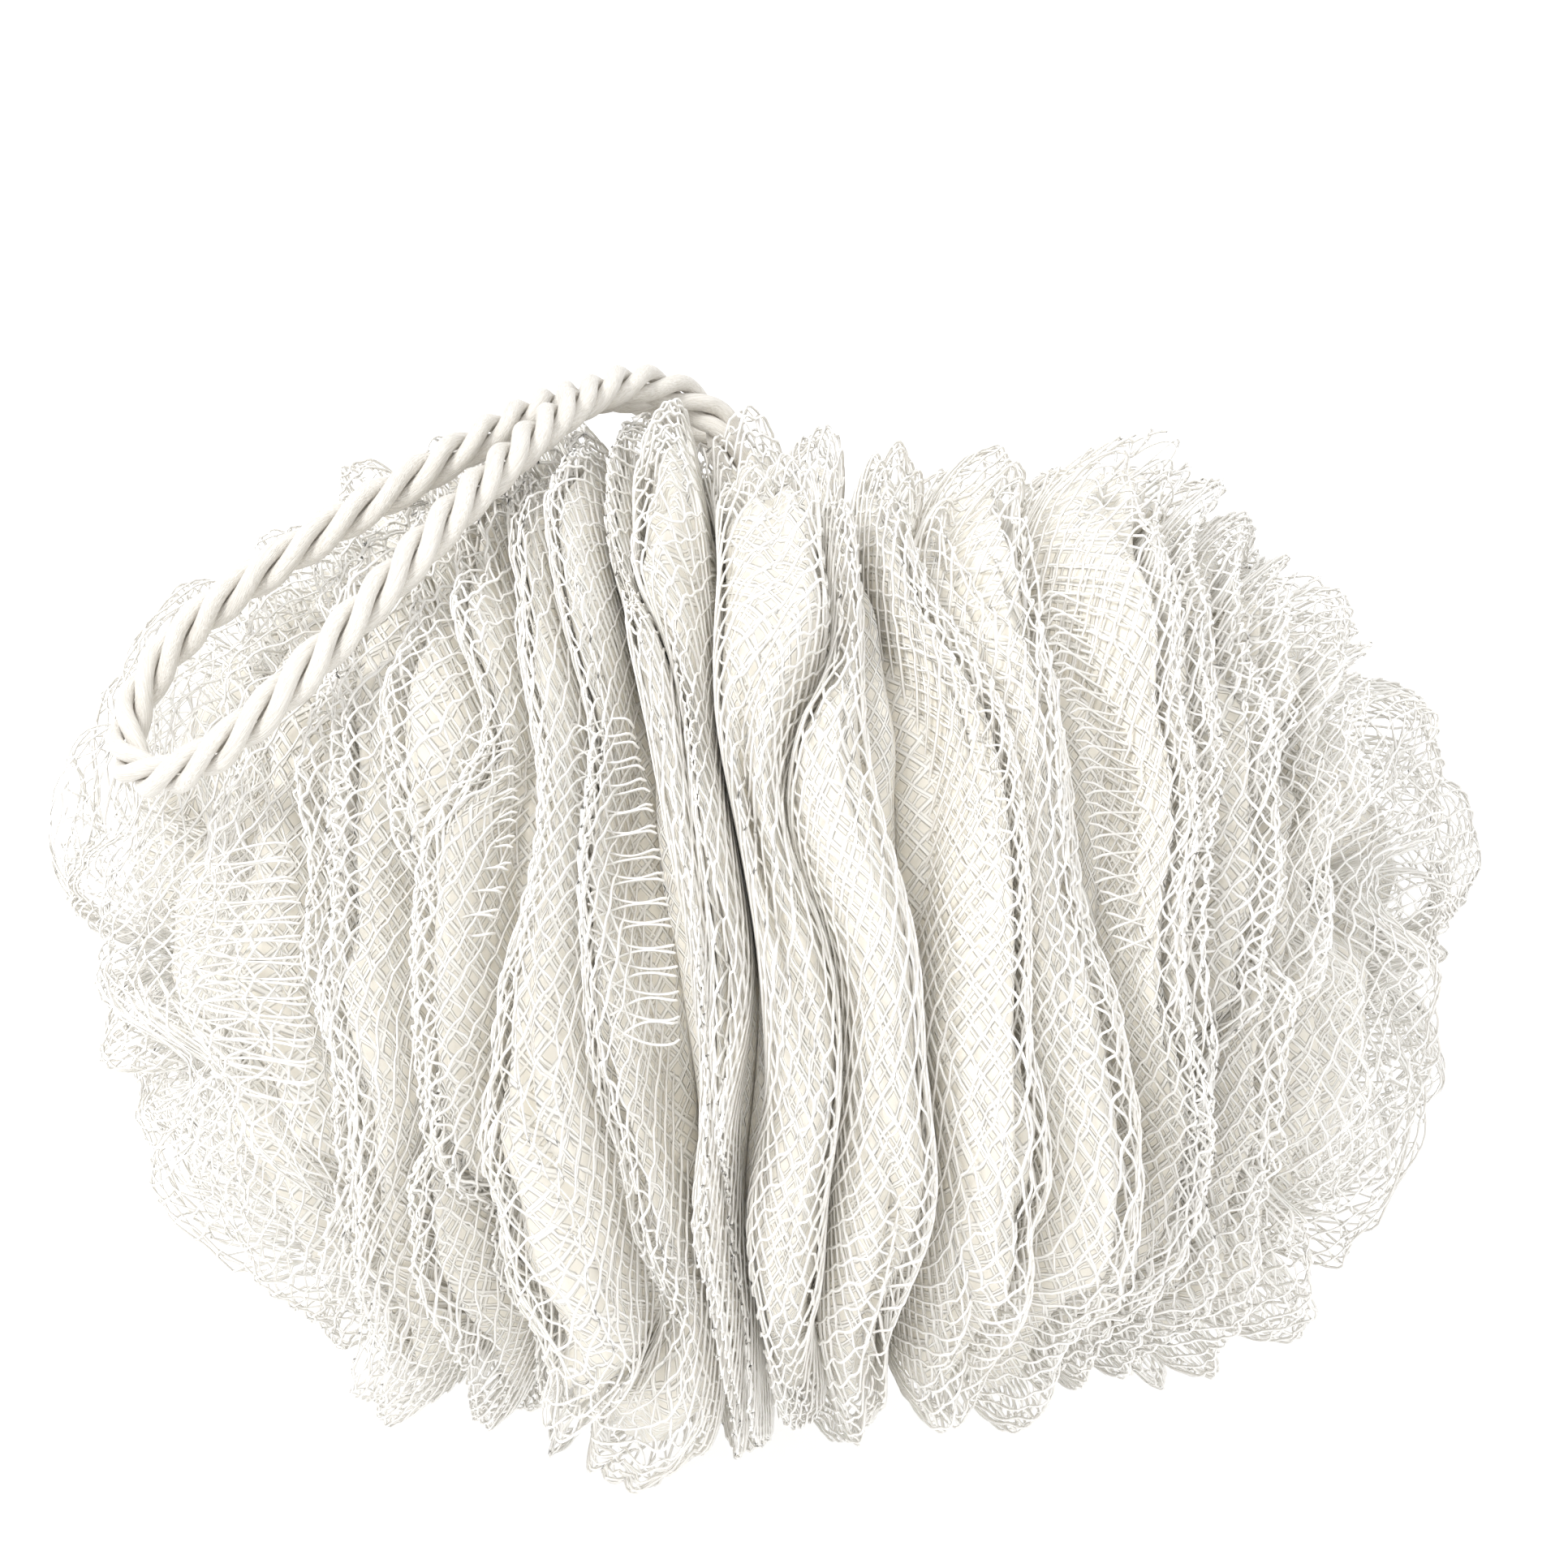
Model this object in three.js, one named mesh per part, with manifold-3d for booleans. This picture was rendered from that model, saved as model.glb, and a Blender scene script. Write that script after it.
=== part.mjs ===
// Mesh bath pouf with a twisted-rope hanging loop.
// Six lengths of knitted tubular netting are laid side by side, bound tightly round
// their middles, and spread into a ruffle on each side of the binding, so every length
// is a bow-tie shaped body of revolution about X.  A rope is tied round the same waist
// and comes out at the top between the two middle ruffles as a loop.
// Millimetres, +Z up, X along the waist, origin at the middle of the base.

import * as THREE from 'three';
import { mergeVertices } from 'three/addons/utils/BufferGeometryUtils.js';
import Module from 'manifold-3d';

// ---------------------------------------------------------------- driving dimensions
const HALF_LENGTH = 75;         // half of the pouf along X
const OUTER_RADIUS = 57.5;      // largest ruffle, measured from the waist axis
const FULLNESS = 2.4;           // superellipse exponent of the outline (2 = ellipse)
const AXIS_HEIGHT = 55;         // waist axis above the base: the lowest 2.5 mm is pressed flat
const RIM_HALF_THICKNESS = 3.2; // half thickness of a ruffle at its crest
const NECK_HALF_THICKNESS = 0.55; // half thickness of the gathered net inside the binding
const NECK_PITCH = 1.5;         // radial pitch of the nested necks
const NECK_OUTER_MID = 9;       // mid radius of the outermost neck
const NECK_HALF_WIDTH = 3.8;    // where the outermost neck turns outwards, from x = 0
const LEFT_RIMS = [-13, -29.5, -44.5, -57, -66, -70.8];   // crest positions, outermost neck first
const RIGHT_RIMS = [3.5, 20.5, 37, 52, 63.5, 71.2];
const RUFFLE_WAVES = 6;         // waves round each crest
const RUFFLE_DEPTH = 2.0;       // how far the waves swing along X at the crest
const RUFFLE_START = 20;        // radius at which the waves begin
const AROUND = 36;              // steps round a lathe

const ROPE_D = 4.4;             // three-strand twisted rope
const ROPE_SIDES = 10;
const KNOT_ANGLE = -29.5;       // degrees from +Z towards -Y: where the rope leaves the waist
const EXIT_SPREAD = 6.0;        // degrees either side of it for the two runs at the outline
const ROPE_WRAP_RADIUS = 16;    // centreline of the rope's turn round the waist
const ROPE_WRAP_GAP = 20.5;     // degrees either side of the knot left open by the turn
const KNOT_RADIUS = 19.3;       // knot centre from the waist axis
const KNOT_HALF = [3.0, 6.5, 4.5];    // half sizes: along X, round the waist, outwards
const FACE_GAP = 0.3;           // clearance where two rope sections meet
const LOOP_TURN = 122;          // degrees the loop turns from lying on the shoulder to upright

const BINDING_CORD_D = 1.4;     // thin cord, four turns
const BINDING_TURNS = 4;
const BINDING_INNER = NECK_OUTER_MID + NECK_HALF_THICKNESS + 0.4;
const BINDING_KNOT_ANGLE = 150; // degrees from +Z towards -Y
const BINDING_TAIL_D = 1.2;

// ---------------------------------------------------------------- helpers
const rad = (d) => (d * Math.PI) / 180;
const wasm = await Module();
wasm.setup();

// radius of the outline at x, for semi-axes a and c
const outline = (x, a = HALF_LENGTH, c = OUTER_RADIUS) =>
  c * Math.pow(1 - Math.pow(Math.min(Math.abs(x) / a, 0.99999), FULLNESS), 1 / FULLNESS);

// swing of the ruffles along X at radius r and angle phi (radians from +Z towards -Y)
function swing(r, phi) {
  const t = Math.max(0, (r - RUFFLE_START) / (OUTER_RADIUS - RUFFLE_START));
  return RUFFLE_DEPTH * t * t * (Math.cos(RUFFLE_WAVES * (phi - rad(KNOT_ANGLE))) - 1);
}

// point at axial position x, radius r, angle phi in degrees
const polar = (x, r, phiDeg) =>
  new THREE.Vector3(x, -r * Math.sin(rad(phiDeg)), AXIS_HEIGHT + r * Math.cos(rad(phiDeg)));

function signedVolume(g) {
  const p = g.attributes.position, i = g.index;
  let v = 0;
  const a = new THREE.Vector3(), b = new THREE.Vector3(), c = new THREE.Vector3();
  for (let k = 0; k < i.count; k += 3) {
    a.fromBufferAttribute(p, i.getX(k));
    b.fromBufferAttribute(p, i.getX(k + 1));
    c.fromBufferAttribute(p, i.getX(k + 2));
    v += a.dot(b.clone().cross(c)) / 6;
  }
  return v;
}

// welded, outward-facing, index-only geometry
function solid(g) {
  g.deleteAttribute('normal');
  g.deleteAttribute('uv');
  const m = mergeVertices(g, 1e-4);
  const keep = [];
  const ix = m.index;
  for (let k = 0; k < ix.count; k += 3) {
    const a = ix.getX(k), b = ix.getX(k + 1), c = ix.getX(k + 2);
    if (a !== b && b !== c && a !== c) keep.push(a, b, c);
  }
  m.setIndex(keep);
  if (signedVolume(m) < 0) {
    for (let k = 0; k < keep.length; k += 3) {
      const t = keep[k + 1]; keep[k + 1] = keep[k + 2]; keep[k + 2] = t;
    }
    m.setIndex(keep);
  }
  return m;
}

const toManifold = (g) => new wasm.Manifold(new wasm.Mesh({
  numProp: 3,
  vertProperties: new Float32Array(g.attributes.position.array),
  triVerts: new Uint32Array(g.index.array),
}));

function fromManifold(m) {
  const mesh = m.getMesh();
  const g = new THREE.BufferGeometry();
  const pos = new Float32Array((mesh.vertProperties.length / mesh.numProp) * 3);
  for (let i = 0; i < pos.length / 3; i++)
    for (let k = 0; k < 3; k++) pos[3 * i + k] = mesh.vertProperties[i * mesh.numProp + k];
  g.setAttribute('position', new THREE.BufferAttribute(pos, 3));
  g.setIndex(Array.from(mesh.triVerts));
  return g;
}

// closed profile of [x, r] pairs revolved about the waist axis
function revolve(profile, around = AROUND, wave = true) {
  const pts = profile.map(([x, r]) => new THREE.Vector2(r, x));
  pts.push(pts[0].clone());
  const g = new THREE.LatheGeometry(pts, around);
  const p = g.attributes.position;
  for (let i = 0; i < p.count; i++) {
    const r = Math.hypot(p.getX(i), p.getZ(i));
    const phi = Math.atan2(p.getX(i), p.getZ(i));
    const x = p.getY(i) + (wave ? swing(r, phi) : 0);
    p.setXYZ(i, x, -r * Math.sin(phi), AXIS_HEIGHT + r * Math.cos(phi));
  }
  return solid(g);
}

// plain round tube along a list of points
function tube(points, diameter, sides, steps) {
  const path = new THREE.CatmullRomCurve3(points, false, 'centripetal');
  const ring = [];
  for (let i = 0; i < sides; i++)
    ring.push(new THREE.Vector2(
      (diameter / 2) * Math.cos((2 * Math.PI * i) / sides),
      (diameter / 2) * Math.sin((2 * Math.PI * i) / sides)));
  const g = new THREE.ExtrudeGeometry(new THREE.Shape(ring), { steps, extrudePath: path, bevelEnabled: false });
  return solid(g);
}

// ellipsoid with half sizes along X, round the waist and outwards, centred at (x, r, angle)
function knot(x, r, angle, half, around = 16, up = 8) {
  const pts = [];
  for (let i = 0; i <= up; i++) {
    const t = -Math.PI / 2 + (Math.PI * i) / up;
    pts.push(new THREE.Vector2(i === 0 || i === up ? 0 : Math.cos(t), Math.sin(t)));
  }
  const g = new THREE.LatheGeometry(pts, around);
  g.scale(half[0], half[1], half[2]);
  g.rotateX(rad(angle));
  g.translate(...polar(x, r, angle).toArray());
  return solid(g);
}

const material = (color, roughness) =>
  new THREE.MeshStandardMaterial({ color, roughness, metalness: 0, side: THREE.FrontSide });
const NET = [0.925, 0.918, 0.902], ROPE = [0.9, 0.885, 0.855], CORD = [0.86, 0.85, 0.82];
const colour = (c) => new THREE.Color().setRGB(c[0], c[1], c[2], THREE.SRGBColorSpace);

const root = new THREE.Group();
root.name = 'mesh_bath_pouf';
const group = (name) => { const g = new THREE.Group(); g.name = name; root.add(g); return g; };
const netting = group('netting'), binding = group('binding'), rope = group('rope');
function add(parent, name, geometry, c, roughness) {
  geometry.computeVertexNormals();
  const m = new THREE.Mesh(geometry, material(colour(c), roughness));
  m.name = name;
  parent.add(m);
  return m;
}

// ---------------------------------------------------------------- netting
// one side of a length: the points of its wall from the neck to the crest and back
function side(k, rimX, sign) {
  const a = HALF_LENGTH - RIM_HALF_THICKNESS, c = OUTER_RADIUS - RIM_HALF_THICKNESS;
  const start = [sign * (NECK_HALF_WIDTH + NECK_PITCH * k), NECK_OUTER_MID - NECK_PITCH * k];
  const end = [rimX, outline(rimX, a, c)];
  const d = [end[0] - start[0], end[1] - start[1]];
  const len = Math.hypot(...d);
  const t = [d[0] / len, d[1] / len];
  const n = [-t[1] * sign, t[0] * sign];          // towards the middle plane, then away from it
  const half = (u) => NECK_HALF_THICKNESS + u * (RIM_HALF_THICKNESS - NECK_HALF_THICKNESS);
  const at = (u, s) => [start[0] + d[0] * u + n[0] * half(u) * s, start[1] + d[1] * u + n[1] * half(u) * s];
  // the two corners at the neck, mitred against the straight neck
  const corner = (s) => {
    const r = start[1] + NECK_HALF_THICKNESS * s;
    const p = at(0, s);
    const w = (r - p[1]) / t[1];
    return [p[0] + t[0] * w, r];
  };
  const inner = [corner(1), at(0.55, 1), at(1, 1)];
  const outer = [at(1, -1), at(0.55, -1), corner(-1)];
  const cap = [];
  for (let i = 1; i < 4; i++) {
    const q = (Math.PI * i) / 4;
    cap.push([
      end[0] + RIM_HALF_THICKNESS * (n[0] * Math.cos(q) + t[0] * Math.sin(q)),
      end[1] + RIM_HALF_THICKNESS * (n[1] * Math.cos(q) + t[1] * Math.sin(q)),
    ]);
  }
  return [...inner, ...cap, ...outer];
}

const slab = solid(new THREE.BoxGeometry(400, 400, 100).translate(0, 0, -50));
for (let k = 0; k < RIGHT_RIMS.length; k++) {
  const right = side(k, RIGHT_RIMS[k], 1);
  const left = side(k, LEFT_RIMS[k], -1).reverse();
  const body = toManifold(revolve([...right, ...left])).subtract(toManifold(slab));
  add(netting, `net_length_${k + 1}`, fromManifold(body), NET, 0.7);
}

// ---------------------------------------------------------------- binding
{
  const w = BINDING_CORD_D, half = (BINDING_TURNS * w) / 2;
  const profile = [[-half + 0.1, BINDING_INNER], [half - 0.1, BINDING_INNER]];
  for (let i = BINDING_TURNS - 1; i >= 0; i--) {
    const cx = -half + w * (i + 0.5);
    for (const q of [25, 90, 155])
      profile.push([cx + (w / 2) * Math.cos(rad(q)), BINDING_INNER + 0.9 + (w / 2) * Math.sin(rad(q))]);
  }
  add(binding, 'binding_cord', revolve(profile, 24, false), CORD, 0.6);
}
const BINDING_TOP = BINDING_INNER + 0.9 + BINDING_CORD_D / 2;
const KNOT_R = BINDING_TOP + 1.0;
add(binding, 'binding_knot',
  knot(-0.4, KNOT_R, BINDING_KNOT_ANGLE, [1.9, 2.1, 0.75], 12, 6), CORD, 0.6);
for (const [name, s] of [['binding_tail_a', 1], ['binding_tail_b', -1]]) {
  const pts = [];
  for (let i = 0; i <= 6; i++)
    pts.push(polar(-0.4 + 0.25 * s * i, KNOT_R + 0.05, BINDING_KNOT_ANGLE + s * (12.3 + 6.5 * i)));
  add(binding, name, tube(pts, BINDING_TAIL_D, 8, 12), CORD, 0.6);
}

// ---------------------------------------------------------------- rope
// middle of the gap between the two middle ruffles at radius r and angle in degrees
function gapX(r, phiDeg) {
  const t = (r - NECK_OUTER_MID) / (outline(0) - RIM_HALF_THICKNESS - NECK_OUTER_MID);
  return ((LEFT_RIMS[0] + RIGHT_RIMS[0]) / 2) * t + swing(r, rad(phiDeg));
}

{
  const pts = [];
  const from = KNOT_ANGLE + ROPE_WRAP_GAP, span = 360 - 2 * ROPE_WRAP_GAP;
  for (let i = 0; i <= 24; i++) {
    const a = from + (span * i) / 24;
    pts.push(polar(gapX(ROPE_WRAP_RADIUS, a), ROPE_WRAP_RADIUS, a));
  }
  add(rope, 'rope_waist_turn', tube(pts, ROPE_D, ROPE_SIDES, 28), ROPE, 0.45);
}
add(rope, 'rope_knot', knot(gapX(KNOT_RADIUS, KNOT_ANGLE), KNOT_RADIUS, KNOT_ANGLE, KNOT_HALF), ROPE, 0.45);

// the loop's centreline: out of the front root, over the crest beside it, down the left
// shoulder on the ruffles, round and back up to the rear root
const LOOP_LIE = [
  [-6.3, 22.7, 107.3], [-8.0, 23.3, 109.0], [-10.9, 22.7, 111.2], [-15.3, 18.9, 113.5],
  [-18.7, 13.6, 114.4], [-21.4, 7.9, 114.6], [-23.8, 2.0, 114.4], [-26.4, -3.8, 113.7],
  [-29.2, -9.3, 112.5], [-32.3, -14.6, 110.7], [-35.7, -19.3, 108.3], [-39.4, -23.5, 105.3],
  [-43.5, -26.9, 101.8], [-47.8, -29.5, 97.9], [-52.4, -30.9, 93.8], [-57.3, -30.6, 89.9],
  [-62.1, -28.0, 87.0], [-65.6, -23.0, 86.8], [-65.9, -17.7, 89.6], [-63.3, -14.2, 93.9],
  [-59.0, -12.7, 98.3], [-54.0, -12.0, 102.1], [-48.7, -11.0, 105.4], [-43.4, -9.1, 108.3],
  [-38.3, -6.1, 110.5], [-33.8, -2.1, 112.2], [-29.8, 2.8, 113.1], [-26.4, 8.1, 113.3],
  [-23.5, 13.8, 112.8], [-20.8, 19.5, 111.8], [-18.1, 25.1, 110.5], [-15.0, 30.2, 108.4],
  [-10.8, 33.7, 105.3], [-8.0, 34.0, 103.0], [-6.3, 33.1, 101.4],
];
const loopPoints = LOOP_LIE.map(([x, y, z]) => new THREE.Vector3(x, y, z));
const loopPath = new THREE.CatmullRomCurve3(loopPoints, false, 'centripetal');

// the loop turns about the line through its two roots, which are rounded there
const ball = (centre, radius) => {
  const g = new THREE.SphereGeometry(radius, 16, 10);
  g.translate(centre.x, centre.y, centre.z);
  return toManifold(solid(g));
};
const hinge = [loopPath.getPoint(0), loopPath.getPoint(1)];
const loopBody = toManifold(tube(loopPoints, ROPE_D, ROPE_SIDES, 64))
  .add(ball(hinge[0], ROPE_D / 2 - 0.03)).add(ball(hinge[1], ROPE_D / 2 - 0.03));
add(rope, 'hanging_loop', fromManifold(loopBody), ROPE, 0.45);

// room that the loop takes up beside one root while it turns from lying to upright
function swept(at) {
  const near = [];
  for (let i = 0; i <= 6; i++) near.push(loopPath.getPoint(at === 0 ? i * 0.01 : 1 - i * 0.01));
  const stub = toManifold(tube(near, ROPE_D + 2 * FACE_GAP, 16, 8));
  const axis = hinge[1].clone().sub(hinge[0]).normalize();
  let room = ball(hinge[at], ROPE_D / 2 + FACE_GAP);
  const steps = Math.ceil(LOOP_TURN / 5);
  for (let i = 0; i <= steps; i++) {
    const turn = new THREE.Matrix4().makeTranslation(hinge[0])
      .multiply(new THREE.Matrix4().makeRotationAxis(axis, rad((LOOP_TURN * i) / steps)))
      .multiply(new THREE.Matrix4().makeTranslation(hinge[0].clone().negate()));
    room = room.add(stub.transform(turn.elements));
  }
  return room;
}

// the two runs inside the ruffles, from the knot to the loop's roots
for (const [name, s, at] of [['rope_run_a', 1, 0], ['rope_run_b', -1, 1]]) {
  const out = loopPath.getTangent(at).multiplyScalar(s);   // away from the run
  const meet = loopPath.getPoint(at);
  const pts = [];
  const r0 = KNOT_RADIUS + KNOT_HALF[2] + 0.4;
  const foot = (Math.atan2(ROPE_D / 2 + 0.4, r0) * 180) / Math.PI;
  for (const [r, w] of [[r0, 0], [28, 0.45], [34, 0.72], [40, 0.88], [46.5, 0.97]])
    pts.push(polar(gapX(r, KNOT_ANGLE), r, KNOT_ANGLE + s * (foot + (EXIT_SPREAD - foot) * w)));
  for (const back of [3.2, 1, 0]) pts.push(meet.clone().addScaledVector(out, -(back + FACE_GAP)));
  const pieces = toManifold(tube(pts, ROPE_D, ROPE_SIDES, 16)).subtract(swept(at)).decompose();
  pieces.sort((p, q) => q.volume() - p.volume());
  add(rope, name, fromManifold(pieces[0]), ROPE, 0.45);
}
// the two cut ends beyond the knot
for (const [name, s] of [['rope_tail_a', 1], ['rope_tail_b', -1]]) {
  const pts = [];
  for (const [t, n] of [[7.4, 19.2], [11.5, 20.4], [15.5, 23.0], [18.6, 26.8], [20.6, 31.4]]) {
    const r = Math.hypot(t, n), a = KNOT_ANGLE + s * (Math.atan2(t, n) * (180 / Math.PI));
    pts.push(polar(gapX(r, a), r, a));
  }
  add(rope, name, tube(pts, ROPE_D, ROPE_SIDES, 8), ROPE, 0.45);
}

export default root;
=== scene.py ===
import math

import bpy
import numpy as np
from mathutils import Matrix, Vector


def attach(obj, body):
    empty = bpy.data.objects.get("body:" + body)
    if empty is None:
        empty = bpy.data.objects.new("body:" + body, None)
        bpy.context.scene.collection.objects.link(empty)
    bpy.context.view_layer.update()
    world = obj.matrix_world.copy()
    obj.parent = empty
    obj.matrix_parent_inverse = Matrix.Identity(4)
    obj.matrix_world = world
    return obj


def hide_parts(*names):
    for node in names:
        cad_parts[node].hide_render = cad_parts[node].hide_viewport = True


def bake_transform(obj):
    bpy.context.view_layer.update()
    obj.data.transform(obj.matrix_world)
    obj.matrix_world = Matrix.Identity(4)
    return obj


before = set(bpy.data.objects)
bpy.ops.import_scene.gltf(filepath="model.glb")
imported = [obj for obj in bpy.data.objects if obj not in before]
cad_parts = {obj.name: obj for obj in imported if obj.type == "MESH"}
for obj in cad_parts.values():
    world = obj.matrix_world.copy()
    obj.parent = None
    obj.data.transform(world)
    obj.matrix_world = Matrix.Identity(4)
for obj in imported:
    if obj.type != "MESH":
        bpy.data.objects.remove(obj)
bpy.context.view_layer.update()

MM = 0.001
ZC = 55.0                      # waist axis above the base, mm
HALF_X, HALF_R, FULL = 75.0, 57.5, 2.4


# ------------------------------------------------------------------ camera
def make_camera():
    cam = bpy.data.objects.new("camera", bpy.data.cameras.new("camera"))
    bpy.context.scene.collection.objects.link(cam)
    cam.data.lens = 112.0
    cam.data.sensor_width = 36.0
    e = math.radians(22.0)
    back = Vector((0.0, -math.cos(e), math.sin(e)))
    up = Vector((0.0, math.sin(e), math.cos(e)))
    aim = Vector((0.0005, 0.0, ZC * MM)) + up * 0.0185
    width = 0.169
    dist = width * cam.data.lens / cam.data.sensor_width
    cam.location = aim + back * dist
    cam.rotation_mode = "QUATERNION"
    cam.rotation_quaternion = (-back).to_track_quat("-Z", "Y")
    cam.data.clip_start, cam.data.clip_end = 0.02, 20.0
    bpy.context.scene.camera = cam
    return cam


make_camera()


# ------------------------------------------------------------------ materials
def material(name):
    m = bpy.data.materials.new(name)
    m.use_nodes = True
    nt = m.node_tree
    nt.nodes.clear()
    out = nt.nodes.new("ShaderNodeOutputMaterial")
    p = nt.nodes.new("ShaderNodeBsdfPrincipled")
    nt.links.new(p.outputs["BSDF"], out.inputs["Surface"])
    return m, nt, p


def net_material(name, bright, dark, rough=0.42, scale=90.0):
    m, nt, p = material(name)
    co = nt.nodes.new("ShaderNodeTexCoord")
    big = nt.nodes.new("ShaderNodeTexNoise")
    big.inputs["Scale"].default_value = scale
    big.inputs["Detail"].default_value = 3.0
    nt.links.new(co.outputs["Object"], big.inputs["Vector"])
    ramp = nt.nodes.new("ShaderNodeValToRGB")
    ramp.color_ramp.elements[0].position = 0.32
    ramp.color_ramp.elements[0].color = (*dark, 1)
    ramp.color_ramp.elements[1].position = 0.66
    ramp.color_ramp.elements[1].color = (*bright, 1)
    nt.links.new(big.outputs["Fac"], ramp.inputs["Fac"])
    nt.links.new(ramp.outputs["Color"], p.inputs["Base Color"])
    fine = nt.nodes.new("ShaderNodeTexNoise")
    fine.inputs["Scale"].default_value = 2600.0
    fine.inputs["Detail"].default_value = 2.0
    nt.links.new(co.outputs["Object"], fine.inputs["Vector"])
    rr = nt.nodes.new("ShaderNodeMapRange")
    rr.inputs["To Min"].default_value = rough - 0.08
    rr.inputs["To Max"].default_value = rough + 0.12
    nt.links.new(fine.outputs["Fac"], rr.inputs["Value"])
    nt.links.new(rr.outputs["Result"], p.inputs["Roughness"])
    bump = nt.nodes.new("ShaderNodeBump")
    bump.inputs["Strength"].default_value = 0.25
    bump.inputs["Distance"].default_value = 0.00006
    nt.links.new(fine.outputs["Fac"], bump.inputs["Height"])
    nt.links.new(bump.outputs["Normal"], p.inputs["Normal"])
    p.inputs["Specular IOR Level"].default_value = 0.4
    return m


def rope_material(name, bright, dark, grooves=26.0):
    """Silky twisted yarn: fine grooves that follow the strand, from the lay attribute (turns round, length along); the
    colour darkens with the grooves, partly the fibres' own streaky tone and partly painted shade in the grooves.
    """
    m, nt, p = material(name)
    lay = nt.nodes.new("ShaderNodeAttribute")
    lay.attribute_name = "lay"
    mp = nt.nodes.new("ShaderNodeMapping")
    mp.inputs["Scale"].default_value = (grooves, 0.7, 1.0)
    nt.links.new(lay.outputs["Vector"], mp.inputs["Vector"])
    yarn = nt.nodes.new("ShaderNodeTexNoise")
    yarn.inputs["Scale"].default_value = 1.0
    yarn.inputs["Detail"].default_value = 4.0
    nt.links.new(mp.outputs["Vector"], yarn.inputs["Vector"])
    # dark end of the ramp falls in the bump's grooves: painted groove shade over the yarn's own streaky tone
    ramp = nt.nodes.new("ShaderNodeValToRGB")
    ramp.color_ramp.elements[0].position = 0.3
    ramp.color_ramp.elements[0].color = (*dark, 1)
    ramp.color_ramp.elements[1].position = 0.7
    ramp.color_ramp.elements[1].color = (*bright, 1)
    nt.links.new(yarn.outputs["Fac"], ramp.inputs["Fac"])
    nt.links.new(ramp.outputs["Color"], p.inputs["Base Color"])
    bump = nt.nodes.new("ShaderNodeBump")
    bump.inputs["Strength"].default_value = 0.8
    bump.inputs["Distance"].default_value = 0.00022
    nt.links.new(yarn.outputs["Fac"], bump.inputs["Height"])
    nt.links.new(bump.outputs["Normal"], p.inputs["Normal"])
    rr = nt.nodes.new("ShaderNodeMapRange")
    rr.inputs["To Min"].default_value = 0.32
    rr.inputs["To Max"].default_value = 0.5
    nt.links.new(yarn.outputs["Fac"], rr.inputs["Value"])
    nt.links.new(rr.outputs["Result"], p.inputs["Roughness"])
    p.inputs["Sheen Weight"].default_value = 0.25
    p.inputs["Sheen Roughness"].default_value = 0.4
    return m


def shaded_net_material(name, line, shade_ground):
    """Netting many layers thick: crossing filaments over a darker, warmer ground, placed by the
    lay attribute (filaments along the crest, filaments across it). The ground is painted shade, the beige dimness deep
    between the layers, and the filaments are painted darker than the front net's as shade on the plies behind it."""
    m, nt, p = material(name)
    lay = nt.nodes.new("ShaderNodeAttribute")
    lay.attribute_name = "lay"
    xyz = nt.nodes.new("ShaderNodeSeparateXYZ")
    nt.links.new(lay.outputs["Vector"], xyz.inputs["Vector"])

    def math_node(op, a, b=None):
        n = nt.nodes.new("ShaderNodeMath")
        n.operation = op
        for i, x in enumerate((a, b)):
            if x is None:
                continue
            if isinstance(x, (int, float)):
                n.inputs[i].default_value = float(x)
            else:
                nt.links.new(x, n.inputs[i])
        return n.outputs[0]

    lines = None
    for scale, shift in ((1.0, 0.0), (1.37, 0.31)):
        u = math_node("MULTIPLY", xyz.outputs["X"], scale)
        v = math_node("MULTIPLY", xyz.outputs["Y"], scale)
        for op in ("ADD", "SUBTRACT"):
            w = math_node("ADD", math_node(op, u, v), shift + 200.0)
            d = math_node("ABSOLUTE", math_node("SUBTRACT", math_node("FRACT", w), 0.5))
            mr = nt.nodes.new("ShaderNodeMapRange")
            mr.interpolation_type = "SMOOTHSTEP"
            mr.inputs["From Min"].default_value = 0.05
            mr.inputs["From Max"].default_value = 0.14
            mr.inputs["To Min"].default_value = 1.0 if scale == 1.0 else 0.6
            mr.inputs["To Max"].default_value = 0.0
            nt.links.new(d, mr.inputs["Value"])
            lines = mr.outputs["Result"] if lines is None else math_node("MAXIMUM", lines, mr.outputs["Result"])
    # filaments in the line colour over the ground colour, which is painted shade between the layers
    mix = nt.nodes.new("ShaderNodeValToRGB")
    mix.color_ramp.elements[0].position = 0.0
    mix.color_ramp.elements[0].color = (*shade_ground, 1)
    mix.color_ramp.elements[1].position = 0.9
    mix.color_ramp.elements[1].color = (*line, 1)
    nt.links.new(lines, mix.inputs["Fac"])
    nt.links.new(mix.outputs["Color"], p.inputs["Base Color"])
    bump = nt.nodes.new("ShaderNodeBump")
    bump.inputs["Strength"].default_value = 0.8
    bump.inputs["Distance"].default_value = 0.0004
    nt.links.new(lines, bump.inputs["Height"])
    nt.links.new(bump.outputs["Normal"], p.inputs["Normal"])
    p.inputs["Roughness"].default_value = 0.6
    p.inputs["Specular IOR Level"].default_value = 0.3
    return m


# each yarn's darker colour is partly its own tone and partly painted shade in the grooves between fibres
ROPE_MAT = rope_material("rope_yarn", (0.94, 0.915, 0.87), (0.70, 0.66, 0.59))
CORD_MAT = rope_material("binding_yarn", (0.86, 0.84, 0.79), (0.72, 0.69, 0.62), 14.0)
NET_MAT = net_material("net_filament", (0.985, 0.973, 0.945), (0.965, 0.947, 0.908))
# net colours painted darker for the plies behind the front net, with a beige ground painted as the shade deep between
# the layers
SHADED_PLY_MAT = shaded_net_material("net_layers_painted_shade", (0.925, 0.91, 0.872), (0.825, 0.79, 0.71))


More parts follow.
